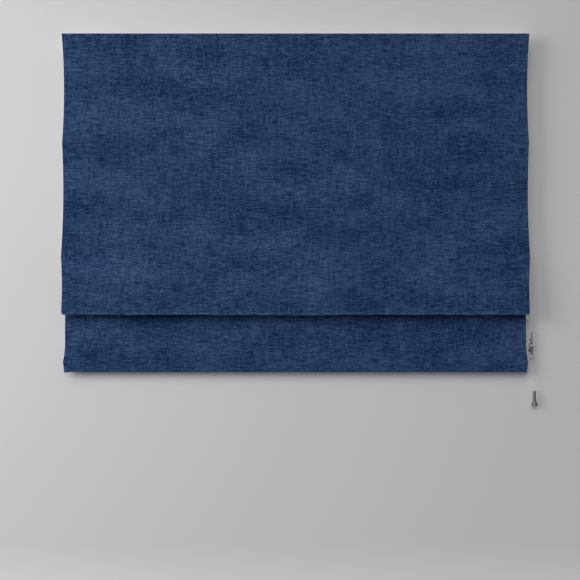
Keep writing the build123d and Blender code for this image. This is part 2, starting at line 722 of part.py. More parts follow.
def wound_points():
    """The draw cord's route on the cleat: one figure of eight, from its left side to its tail."""
    wound = [
        (-4.6, 5.0, 10.0), (-4.4, 4.2, -3.5), (-4.4, 4.2, -9.5), (0.0, 4.2, -12.1), (4.4, 4.6, -9.5),
        (4.8, 9.6, -6.2), (4.6, 15.0, -3.4), (2.4, 17.7, -0.9), (-2.4, 17.7, 0.9), (-4.6, 15.0, 3.4),
        (-4.8, 9.8, 6.2), (-4.4, 7.8, 9.6), (0.0, 7.6, 12.2), (4.4, 7.8, 9.6), (4.8, 9.8, 6.2),
        (4.8, 15.4, 4.0), (2.6, 20.0, 1.6), (-2.6, 20.0, -1.6), (-4.8, 15.4, -4.0), (-4.8, 9.8, -6.6),
        (-4.2, 7.8, -10.2), (0.4, 7.8, -13.4), (5.4, 8.4, -17.6), (7.6, 10.2, -26.0),
    ]
    return [cleat_point(*place) for place in wound]


def acorn_top():
    """Middle of the acorn's top."""
    return (half_width + ACORN_OUT, -ACORN_FROM_WALL, cloth_top - ACORN_DROP)


def largest_radii(points):
    """For each corner of a cord's route, the largest arc that its two runs leave room for."""
    runs = [Vector(*b) - Vector(*a) for a, b in zip(points, points[1:])]
    radii = []
    for before, after in zip(runs, runs[1:]):
        half_turn = math.radians(before.get_angle(after)) / 2
        radii.append(RUN_SHARE * min(before.length, after.length) / math.tan(half_turn))
    return radii


def draw_cord():
    """Draw cord from inside the joiner to inside the acorn, with its knot there."""
    _, way = pull_line()
    x, y, z = acorn_top()
    knot_z = z - ACORN_CROWN - ACORN_KNOT / 2
    start = joiner_bottom() - way * JOINER_BORE_DEPTH
    route = [tuple(start)] + wound_points() + [(x, y, z + ACORN_LENGTH), (x, y, knot_z)]
    radii = largest_radii(route)
    print("draw cord radii:", [round(radius, 1) for radius in radii])
    path = FilletPolyline(*route, radius=radii)
    cord = tube(path, DRAW_CORD)
    section = math.pi * DRAW_CORD ** 2 / 4
    print("draw cord length:", round(path.length, 1), "volume ratio:", round(cord.volume / section / path.length, 4))
    return cord + Pos(x, y, knot_z) * Sphere(ACORN_KNOT / 2)


def cleat():
    """Cleat with two horns, cast with its stem and foot, and bored for two sunk screws."""
    foot_outline = Pos(cleat_x, cleat_z) * Rot(0, 0, 90) * SlotOverall(CLEAT_FOOT_LENGTH, CLEAT_FOOT_WIDTH)
    foot = along_y(foot_outline, -CLEAT_FOOT, 0)
    stem_outline = Pos(cleat_x, cleat_z) * Rot(0, 0, 90) * SlotOverall(CLEAT_STEM_LENGTH, CLEAT_STEM_WIDTH)
    stem = along_y(stem_outline, -CLEAT_STANDOFF, -CLEAT_FOOT)
    sections = []
    for place_share, size_share in CLEAT_HORN_SHARES:
        up = place_share * CLEAT_LENGTH / 2
        out = CLEAT_STANDOFF + CLEAT_TIP_RISE * place_share ** 2
        slope = 2 * CLEAT_TIP_RISE * place_share / (CLEAT_LENGTH / 2)
        plane = Plane((cleat_x, -out, cleat_z + up), x_dir=(1, 0, 0), z_dir=(0, -slope, 1))
        sections.append(plane * Ellipse(CLEAT_HORN_WIDTH / 2 * size_share, CLEAT_HORN_DEPTH / 2 * size_share))
    body = foot + stem + loft(sections)
    front = CLEAT_STANDOFF + CLEAT_HORN_DEPTH / 2
    sink = (CLEAT_SINK - CLEAT_SCREW_HOLE) / 2
    for z in (cleat_z - CLEAT_SCREW_SPACING / 2, cleat_z + CLEAT_SCREW_SPACING / 2):
        body -= along_y(Pos(cleat_x, z) * Circle(CLEAT_SCREW_HOLE / 2), -front - CUT_OVERRUN, CUT_OVERRUN)
        cone = Cone(CLEAT_SCREW_HOLE / 2, CLEAT_SINK / 2, sink)
        body -= Pos(cleat_x, sink / 2 - front, z) * Rot(90, 0, 0) * cone
    return body


def acorn():
    """Turned acorn weight: a collar, a thin neck and a bell mouth, hollow from below."""
    collar = ACORN_COLLAR / 2
    neck = ACORN_NECK / 2
    mouth = ACORN_MOUTH / 2
    rim = -ACORN_LENGTH
    lip = collar - neck
    inside = neck - ACORN_WALL
    outline = [
        Line((0, 0), (neck, 0)),
        ThreePointArc((neck, 0), (collar, -lip), (neck, -2 * lip)),
        Line((neck, -2 * lip), (neck, -ACORN_WAIST)),
        TangentArc((neck, -ACORN_WAIST), (mouth, rim), tangent=(0, -1)),
        Line((mouth, rim), (mouth - ACORN_WALL, rim)),
        TangentArc((inside, -ACORN_WAIST), (mouth - ACORN_WALL, rim), tangent=(0, -1)),
        Line((inside, -ACORN_WAIST), (inside, -ACORN_CROWN)),
        Line((inside, -ACORN_CROWN), (0, -ACORN_CROWN)),
        Line((0, -ACORN_CROWN), (0, 0)),
    ]
    body = revolve(Plane.XZ * make_face(outline), Axis.Z)
    body -= along_z(Circle(DRAW_CORD / 2), -ACORN_CROWN - CUT_OVERRUN, CUT_OVERRUN)
    return Pos(*acorn_top()) * body


def write(name, shape):
    """Write one node; a list of shapes becomes a group of separate solids."""
    if isinstance(shape, list):
        shape = Compound(children=[piece for part in shape for piece in part.solids()])
    export_step(shape, f"parts/{name}.step")


def build():
    """Make every piece and write it as its own node."""
    os.makedirs("parts", exist_ok=True)
    write("headrail", headrail())
    for name, side in (("left", -1), ("right", 1)):
        write(f"end_cap_{name}", end_cap(side))
        write(f"bracket_{name}", bracket(side * BRACKET_SPACING / 2))
        write(f"bracket_cam_{name}", bracket_cam(side * BRACKET_SPACING / 2))
    write("hook_tape", tape(rail_front - HOOK_THICKNESS, rail_front))
    write("loop_tape", tape(face_y + FACE_THICKNESS, rail_front - HOOK_THICKNESS))
    for name, x in lift_columns.items():
        write(f"cord_guide_{name}", cord_guide(x))
        write(f"guide_roller_{name}", roller(x + wrap_radius))
        write(f"guide_pin_{name}", roller_pin(x + wrap_radius))
        write(f"lift_cord_{name}", lift_cord(name))
    write("cord_lock", cord_lock())
    write("lock_roller", roller(drop_x - wrap_radius))
    write("lock_roller_pin", roller_pin(drop_x - wrap_radius))
    write("lock_pin", lock_pin())
    write("face_fabric", face_fabric())
    write("lining", lining())
    for name, (y, z) in rod_places().items():
        write(f"rod_{name}", rod(y, z))
        write(f"rod_tape_{name}", rod_tape(y, z))
    write("rod_end_caps", [rod_cap(side, y, z) for y, z in rod_places().values() for side in (-1, 1)])
    write("cord_rings", cord_rings())
    write("bottom_bar", bottom_bar())
    write("bottom_bar_caps", [bar_cap(-1), bar_cap(1)])
    write("cord_joiner", cord_joiner())
    write("draw_cord", draw_cord())
    write("cleat", cleat())
    write("acorn", acorn())


build()
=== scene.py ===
import json
import logging
import math
from collections.abc import Sequence
from dataclasses import dataclass, replace
from enum import Enum

import bpy
from mathutils import Matrix, Vector


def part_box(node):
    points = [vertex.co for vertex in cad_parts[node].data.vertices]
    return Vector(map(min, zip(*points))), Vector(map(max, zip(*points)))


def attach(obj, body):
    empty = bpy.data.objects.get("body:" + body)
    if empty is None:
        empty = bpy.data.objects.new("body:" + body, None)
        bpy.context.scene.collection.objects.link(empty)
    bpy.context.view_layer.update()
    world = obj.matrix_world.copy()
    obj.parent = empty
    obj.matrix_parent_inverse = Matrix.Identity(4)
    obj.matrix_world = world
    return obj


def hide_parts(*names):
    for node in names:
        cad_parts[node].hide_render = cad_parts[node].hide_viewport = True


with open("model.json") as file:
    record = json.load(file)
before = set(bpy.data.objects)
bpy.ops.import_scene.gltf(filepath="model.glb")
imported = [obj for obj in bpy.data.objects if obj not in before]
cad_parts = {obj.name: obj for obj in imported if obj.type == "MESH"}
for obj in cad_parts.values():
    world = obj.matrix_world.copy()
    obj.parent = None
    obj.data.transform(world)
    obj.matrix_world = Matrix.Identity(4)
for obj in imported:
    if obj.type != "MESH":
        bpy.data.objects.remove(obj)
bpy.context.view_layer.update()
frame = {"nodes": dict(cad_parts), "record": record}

# Looks of a corded roman blind, raised by one pleat. Metres, in the frame of its solids:
# X runs along the headrail, +Y points to the back and +Z up.

LOG = logging.getLogger("roman_blind")
MM = 0.001
BODY = "blind"
FLAT_MAP = "flat"
# Attribute that holds the painted highlight along the pleat's crease
PAINTED_FOLD_HIGHLIGHT = "painted_fold_highlight"
# Noise lies round this value
CELL_MIDDLE = 0.5
CELL_ROUGHNESS = 0.6
# Cells on a flat map have no third side to show
NO_DEPTH = 1000.0

Piece = bpy.types.Object
Tree = bpy.types.NodeTree
Socket = bpy.types.NodeSocket
Triple = tuple[float, float, float]
Stops = tuple[tuple[float, str], ...]


class Slot(Enum):
    """Material slots of the part's record."""

    FACE = "face_cloth"
    LINING = "lining_cloth"
    TAPE = "white_tape"
    RAIL = "white_powder_coat"
    MOULDING = "white_plastic"
    ROLLER = "roller_plastic"
    CLEAR = "clear_plastic"
    STEEL = "steel"
    ROD = "fibreglass"
    BAR = "bar_aluminium"
    CORD = "cord"
    CHROME = "chrome"


class Leg(Enum):
    """The stretches of the folded cloth, from its top to its turned-up hem."""

    PANEL = "panel"
    PLEAT_BACK = "pleat_back"
    HEM = "hem"
    FLAP = "flap"


UPPER_LEGS = (Leg.PANEL, Leg.PLEAT_BACK)


# Small helpers
def linear(hex_colour: str) -> tuple[float, float, float, float]:
    """Turn an sRGB hex colour into linear light.

    Args:
        hex_colour: A colour such as "#203050".

    Returns:
        Red, green, blue and an alpha of one.
    """
    shares = [int(hex_colour[start:start + 2], 16) / 255 for start in (1, 3, 5)]
    lights = [s / 12.92 if s <= 0.04045 else ((s + 0.055) / 1.055) ** 2.4 for s in shares]
    return (lights[0], lights[1], lights[2], 1.0)


def add_node(tree: Tree, kind: str, inputs: dict | None = None, **settings: object) -> bpy.types.Node:
    """Add a node with its settings and links.

    Args:
        tree: The node tree to add to.
        kind: Blender's name for the node, after ShaderNode.
        inputs: For each input, by name or number, a value or the output socket that feeds it.
        **settings: Attributes of the node.

    Returns:
        The new node.
    """
    node = tree.nodes.new(f"ShaderNode{kind}")
    for name, value in settings.items():
        setattr(node, name, value)
    feed(tree, node, inputs or {})
    return node


def feed(tree: Tree, node: bpy.types.Node, inputs: dict) -> None:
    """Feed a node's inputs.

    Args:
        tree: The node's tree.
        node: The node to feed.
        inputs: For each input, by name or number, a value or the output socket that feeds it.
    """
    for socket, value in inputs.items():
        if isinstance(value, Socket):
            tree.links.new(value, node.inputs[socket])
        else:
            node.inputs[socket].default_value = value


def per_mm(*sizes: float) -> tuple[float, ...]:
    """Mapping scale at which one cell of a pattern has these sizes in millimetres."""
    return tuple(1 / (size * MM) for size in sizes)


def clamp(value: float) -> float:
    """A value kept between 0 and 1."""
    return min(1.0, max(0.0, value))


def ease(value: float, start: float, end: float) -> float:
    """Smooth step from 0 at start to 1 at end."""
    share = clamp((value - start) / (end - start))
    return share * share * (3 - 2 * share)


def middle_of(name: str) -> Vector:
    """The middle of a solid's box."""
    return sum(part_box(name), Vector()) / 2


def deselect() -> None:
    """Leave edit mode and clear the selection."""
    if bpy.context.object and bpy.context.object.mode != "OBJECT":
        bpy.ops.object.mode_set(mode="OBJECT")
    bpy.ops.object.select_all(action="DESELECT")


def reshape(turn: float, axis: str, stretch: Triple = (1, 1, 1), move: Sequence[float] = (0, 0, 0)) -> Piece:
    """Turn, stretch and move the whole mesh of the piece that was just added.

    Args:
        turn: Angle about the origin.
        axis: The axis to turn about.
        stretch: Scale along each axis.
        move: Shift along each axis.

    Returns:
        The piece, out of edit mode.
    """
    bpy.ops.object.mode_set(mode="EDIT")
    bpy.ops.mesh.select_all(action="SELECT")
    bpy.ops.transform.rotate(value=turn, orient_axis=axis, center_override=(0, 0, 0))
    bpy.ops.transform.resize(value=stretch)
    bpy.ops.transform.translate(value=move)
    bpy.ops.object.mode_set(mode="OBJECT")
    return bpy.context.object


def new_object(name: str, data: bpy.types.ID) -> Piece:
    """Add an object to the scene.

    Args:
        name: The object's name.
        data: Its mesh, curve, light or camera.

    Returns:
        The new object.
    """
    made = bpy.data.objects.new(name, data)
    bpy.context.scene.collection.objects.link(made)
    return made


def mesh_object(name: str, points: Sequence[Sequence[float]], faces: Sequence[Sequence[int]]) -> Piece:
    """Make a smooth mesh object at the origin.

    Args:
        name: The object's name.
        points: The mesh's points.
        faces: The points of each face, by number.

    Returns:
        The new object.
    """
    mesh = bpy.data.meshes.new(name)
    mesh.from_pydata([tuple(point) for point in points], [], [tuple(face) for face in faces])
    mesh.polygons.foreach_set("use_smooth", [True] * len(mesh.polygons))
    mesh.update()
    return new_object(name, mesh)


def repeat(name: str, pattern: Piece, places: Sequence[Matrix]) -> Piece:
    """Copy one modelled shape to many places, as one piece, and remove the pattern.

    Args:
        name: The new piece's name.
        pattern: The modelled shape, at the origin.
        places: A matrix for each copy.

    Returns:
        The piece that holds all copies.
    """
    points: list[Vector] = []
    faces: list[list[int]] = []
    # Blender lists a new ball's faces in another order in each run, so they are sorted
    shape = sorted(tuple(face.vertices) for face in pattern.data.polygons)
    for place in places:
        first = len(points)
        points += [place @ vertex.co for vertex in pattern.data.vertices]
        faces += [[first + index for index in face] for face in shape]
    bpy.data.objects.remove(pattern)
    return mesh_object(name, points, faces)


def settle(piece: Piece, slot: Slot, *nodes: str) -> Piece:
    """Give a finished piece its material, its body and the nodes that it stands for.

    Args:
        piece: The finished piece.
        slot: The record's slot that it takes its finish from.
        *nodes: Solids that it replaces.

    Returns:
        The same piece.
    """
    piece.data.materials.clear()
    piece.data.materials.append(FINISHES[slot].material())
    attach(piece, BODY)
    if nodes:
        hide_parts(*nodes)
    LOG.info("%s: %d faces", piece.name, len(piece.data.polygons))
    return piece


# Finishes
@dataclass(frozen=True)
class Pattern:
    """Soft random cells of a size in millimetres, and their weights in a finish's tone, gloss and height."""

    size: Triple
    shift: float
    tone: float = 0.0
    gloss: float = 0.0
    height: float = 0.0
    detail: float = 2.0


@dataclass(frozen=True)
class Finish:
    """A surface finish: what a material is and how its surface was made."""

    name: str
    colour: str
    roughness: float
    metallic: float = 0.0
    specular: float = 0.5
    clear: float = 0.0
    sheen: float = 0.0
    sheen_roughness: float = 0.5
    sheen_tint: str = "#ffffff"
    relief_depth: float = 0.05 * MM
    relief_strength: float = 0.4
    shade: str = "#dcdad3"
    # Places of the shade and the colour along the tone, where the finish has no stops of its own
    ramp: tuple[float, float] = (0.25, 0.55)
    stops: Stops = ()
    on_flat_map: bool = False

    def material(self) -> bpy.types.Material:
        """Build the material, or find the one that was built before.

        Returns:
            The material, named for the finish.
        """
        found = bpy.data.materials.get(self.name)
        if found:
            return found
        made = bpy.data.materials.new(self.name)
        made.use_nodes = True
        tree = made.node_tree
        tree.nodes.clear()
        shader = add_node(tree, "BsdfPrincipled", {
            "Base Color": linear(self.colour), "Roughness": self.roughness, "Metallic": self.metallic,
            "Specular IOR Level": self.specular, "Transmission Weight": self.clear,
            "Sheen Weight": self.sheen, "Sheen Roughness": self.sheen_roughness,
            "Sheen Tint": linear(self.sheen_tint),
        })
        add_node(tree, "OutputMaterial", {"Surface": self.dress(tree, shader)})
        return made

    def layers(self, tree: Tree) -> Sequence[Socket | float]:
        """Lay the finish's patterns over each other.

        Args:
            tree: The material's node tree.

        Returns:
            The surface's tone, gloss and height.
        """
        if self.on_flat_map:
            place = add_node(tree, "UVMap", uv_map=FLAT_MAP).outputs["UV"]
        else:
            place = add_node(tree, "TexCoord").outputs["Object"]
        patterns = [value for value in vars(self).values() if isinstance(value, Pattern)]
        cells = []
        for pattern in patterns:
            mapped = add_node(tree, "Mapping", {
                "Vector": place, "Scale": per_mm(*pattern.size), "Location": (pattern.shift,) * 3,
            })
            cells.append(add_node(tree, "TexNoise", {
                "Vector": mapped.outputs["Vector"], "Scale": 1.0, "Detail": pattern.detail,
                "Roughness": CELL_ROUGHNESS,
            }).outputs["Fac"])
        totals = []
        for kind, start in (("tone", CELL_MIDDLE), ("gloss", self.roughness), ("height", CELL_MIDDLE)):
            weights = [getattr(pattern, kind) for pattern in patterns]
            # Cells at their middle leave the start as it is
            total: float | Socket = start - sum(weights) * CELL_MIDDLE
            for cell, weight in zip(cells, weights):
                if weight:
                    total = add_node(tree, "Math", {0: cell, 1: weight, 2: total},
                                     operation="MULTIPLY_ADD").outputs[0]
            totals.append(total)
        return totals

    def dress(self, tree: Tree, shader: bpy.types.Node) -> Socket:
        """Give the shader its colours, gloss and relief.

        Args:
            tree: The material's node tree.
            shader: The material's shader.

        Returns:
            What the surface shows.
        """
        tone, gloss, height = self.layers(tree)
        ramp = add_node(tree, "ValToRGB", {"Fac": tone})
        stops = self.stops or tuple(zip(self.ramp, (self.shade, self.colour)))
        elements = ramp.color_ramp.elements
        for place, _ in stops[1:-1]:
            elements.new(place)
        for element, (place, colour) in zip(elements, stops):
            element.position = place
            element.color = linear(colour)
        bump = add_node(tree, "Bump", {
            "Height": height, "Distance": self.relief_depth, "Strength": self.relief_strength,
        })
        feed(tree, shader, {
            "Base Color": ramp.outputs["Color"], "Roughness": gloss, "Normal": bump.outputs["Normal"],
        })
        return shader.outputs["BSDF"]


@dataclass(frozen=True)
class ChenilleWeave(Finish):
    """Navy chenille, piece woven: tufted weft of mixed blues, so short level streaks lie on a fine warp."""

    specular: float = 0.15
    sheen: float = 0.12
    sheen_roughness: float = 0.45
    sheen_tint: str = "#8ea4c8"
    relief_depth: float = 0.5 * MM
    relief_strength: float = 0.55
    stops: Stops = ((0.11, "#001439"), (0.41, "#1d375d"), (0.58, "#2e476c"), (0.93, "#4b6083"))
    on_flat_map: bool = True
    slub: Pattern = Pattern((32.0, 4.0, NO_DEPTH), 3.1, tone=0.85, height=0.3)
    fleck: Pattern = Pattern((10.0, 2.9, NO_DEPTH), 7.7, tone=1.05, height=0.5)
    # Real warp ends and picks lie 0.5 mm apart, too fine to show, so they are drawn 3.4 and 1.7 mm wide
    warp: Pattern = Pattern((3.4, 45.0, NO_DEPTH), 1.3, tone=0.57)
    pick: Pattern = Pattern((3.4, 1.7, NO_DEPTH), 5.9, tone=0.80, height=0.6)
    blotch: Pattern = Pattern((170.0, 80.0, NO_DEPTH), 9.2, tone=0.58)
    # How much the painted highlight along the crease lightens the tone
    highlight_lift: float = 0.15

    def layers(self, tree: Tree) -> Sequence[Socket | float]:
        """Lay the patterns, paler along the pleat's crease, where a highlight is painted on the fold's edge.

        Args:
            tree: The material's node tree.

        Returns:
            The surface's tone, gloss and height.
        """
        tone, gloss, height = super().layers(tree)
        # Painted highlight: the tone is lifted along the pleat's crease
        highlight_mask = add_node(tree, "Attribute", attribute_name=PAINTED_FOLD_HIGHLIGHT).outputs["Fac"]
        lifted = add_node(tree, "Math", {0: highlight_mask, 1: self.highlight_lift, 2: tone},
                          operation="MULTIPLY_ADD").outputs[0]
        return lifted, gloss, height


@dataclass(frozen=True)
class SateenLining(Finish):
    """Cream cotton sateen: a close smooth weave with a faint level sheen and soft creases."""

    specular: float = 0.3
    sheen: float = 0.1
    relief_depth: float = 0.6 * MM
    stops: Stops = ((0.15, "#d9d2c3"), (0.5, "#e6dfd0"), (0.85, "#efe9dd"))
    on_flat_map: bool = True
    thread: Pattern = Pattern((9.0, 1.4, NO_DEPTH), 2.3, tone=0.7, height=0.4)
    cloud: Pattern = Pattern((70.0, 90.0, NO_DEPTH), 4.7, tone=0.35, height=1.2, detail=3.0)


@dataclass(frozen=True)
class WovenTape(Finish):
    """White polyester tape, narrow woven: ribs across it a millimetre apart, drawn at their size."""

    specular: float = 0.2
    relief_depth: float = 0.4 * MM
    relief_strength: float = 0.6
    stops: Stops = ((0.15, "#c3c2bd"), (0.5, "#e2e1dc"), (0.85, "#f1f0ec"))
    rib: Pattern = Pattern((1.1, 6.0, 6.0), 1.9, tone=0.9, height=0.9)
    lint: Pattern = Pattern((5.0, 3.0, 3.0), 6.1, tone=0.7, height=0.7)


@dataclass(frozen=True)
class PowderCoat(Finish):
    """White polyester powder coat on an extrusion: half gloss, with fine orange peel and a breath of dust."""

    relief_depth: float = 0.08 * MM
    relief_strength: float = 0.35
    shade: str = "#dcdbd6"
    # Real peel is under a millimetre wide, drawn at 1.6 mm so that it shows
    peel: Pattern = Pattern((1.6, 1.6, 1.6), 0.4, height=1.0)
    dust: Pattern = Pattern((45.0, 14.0, 14.0), 2.9, tone=1.0, gloss=0.18, detail=3.0)


@dataclass(frozen=True)
class Moulding(Finish):
    """Injection-moulded plastic: a fine spark-eroded skin, slightly uneven in gloss."""

    flow: Pattern = Pattern((9.0, 9.0, 5.0), 3.7, tone=1.0, gloss=0.2)
    skin: Pattern = Pattern((0.7, 0.7, 0.7), 0.9, height=1.0)


@dataclass(frozen=True)
class MetalSurface(Finish):
    """Metal with the marks of how it was finished: lines of a size, and softer stains."""

    metallic: float = 1.0
    relief_depth: float = 0.03 * MM
    relief_strength: float = 0.3
    shade: str = "#8d9095"
    ramp: tuple[float, float] = (0.2, 0.55)
    line: Pattern = Pattern((40.0, 0.5, 0.5), 1.7, tone=0.5, gloss=0.12, height=1.0)
    stain: Pattern = Pattern((12.0, 12.0, 12.0), 8.3, tone=0.7, gloss=0.14, detail=3.0)


@dataclass(frozen=True)
class ChromePlate(MetalSurface):
    """Chrome plate on a cast fitting: the grain is filled, so only faint round marks are left."""

    relief_depth: float = 0.004 * MM
    line: Pattern = replace(MetalSurface.line, size=(3.0, 3.0, 3.0))


@dataclass(frozen=True)
class BraidedCord(Finish):
    """White polyester cord, braided: carriers cross on the slant, with shade painted as a grey line in each
    gap.
    """

    specular: float = 0.2
    relief_depth: float = 0.15 * MM
    relief_strength: float = 0.6
    # Painted shade: the grey that the gaps between carriers take
    shade: str = "#b8b6b4"
    ramp: tuple[float, float] = (0.25, 0.75)
    carrier: Triple = (1.3, 1.3, 1.3)
    # At this slant the carriers show on runs along X and along Z alike
    slant: float = math.radians(45)
    band_scale: float = 0.32
    band_waver: float = 0.6
    band_detail: float = 1.0

    def layers(self, tree: Tree) -> Sequence[Socket | float]:
        """Lay two slanted sets of bands, which cross as the carriers do; where neither band is high, the gap
        takes painted shade.

        Args:
            tree: The material's node tree.

        Returns:
            The surface's tone, gloss and height.
        """
        place = add_node(tree, "TexCoord").outputs["Object"]
        bands = []
        for slant in (self.slant, -self.slant):
            mapped = add_node(tree, "Mapping", {
                "Vector": place, "Rotation": (0.0, slant, 0.0), "Scale": per_mm(*self.carrier),
            })
            bands.append(add_node(tree, "TexWave", {
                "Vector": mapped.outputs["Vector"], "Scale": self.band_scale, "Distortion": self.band_waver,
                "Detail": self.band_detail,
            }, bands_direction="X").outputs["Fac"])
        crossing = add_node(tree, "Math", dict(enumerate(bands)), operation="MAXIMUM").outputs[0]
        return crossing, self.roughness, crossing


@dataclass(frozen=True)
class BackdropPaint(Finish):
    """Matt emulsion on the backdrop, seen from its front only."""

    specular: float = 0.1

    def dress(self, tree: Tree, shader: bpy.types.Node) -> Socket:
        """Let the backdrop's back be clear, so that the blind shows from behind.

        Args:
            tree: The material's node tree.
            shader: The material's shader.

        Returns:
            What the surface shows.
        """
        side = add_node(tree, "NewGeometry").outputs["Backfacing"]
        clear = add_node(tree, "BsdfTransparent").outputs["BSDF"]
        mixed = add_node(tree, "MixShader", {0: side, 1: shader.outputs["BSDF"], 2: clear})
        return mixed.outputs[0]


FINISHES: dict[Slot, Finish] = {
    Slot.FACE: ChenilleWeave("navy_chenille", "#263c61", 0.92),
    Slot.LINING: SateenLining("cream_sateen", "#e6dfd0", 0.62),
    Slot.TAPE: WovenTape("white_woven_tape", "#e2e1dc", 0.85),
    Slot.RAIL: PowderCoat("white_powder_coat", "#e8e7e3", 0.42),
    Slot.MOULDING: Moulding("white_nylon", "#e6e5df", 0.45),
    Slot.ROLLER: Moulding("natural_acetal", "#ddd8c8", 0.32, shade="#c2bba6"),
    Slot.CLEAR: Moulding("milky_polycarbonate", "#e6eeec", 0.22, shade="#d2dddb", clear=0.15),
    Slot.STEEL: MetalSurface(
        "zinc_plated_steel", "#c3c6cb", 0.34, line=replace(MetalSurface.line, size=(1.2, 1.2, 1.2)),
    ),
    Slot.ROD: Moulding(
        "pultruded_fibreglass", "#e4e0d0", 0.5, shade="#cdc7b2",
        skin=replace(Moulding.skin, size=(30.0, 0.5, 0.5)),
    ),
    Slot.BAR: MetalSurface("mill_aluminium", "#c9cbce", 0.4),
    Slot.CORD: BraidedCord("braided_polyester", "#e6e4e3", 0.8),
    Slot.CHROME: ChromePlate("chrome_plate", "#717377", 0.42, shade="#505256"),
}
# The cleat is polished brighter than the acorn, which shares its slot
NODE_FINISHES: dict[str, Finish] = {
    "cleat": ChromePlate("polished_chrome", "#b9bbbf", 0.16, shade="#6d6f74"),
}


# Route of the folded cloth
@dataclass(frozen=True)
class Station:
    """One place along the folded cloth, on its visible side."""

    leg: Leg
    y: float
    z: float
    normal: tuple[float, float]
    length: float


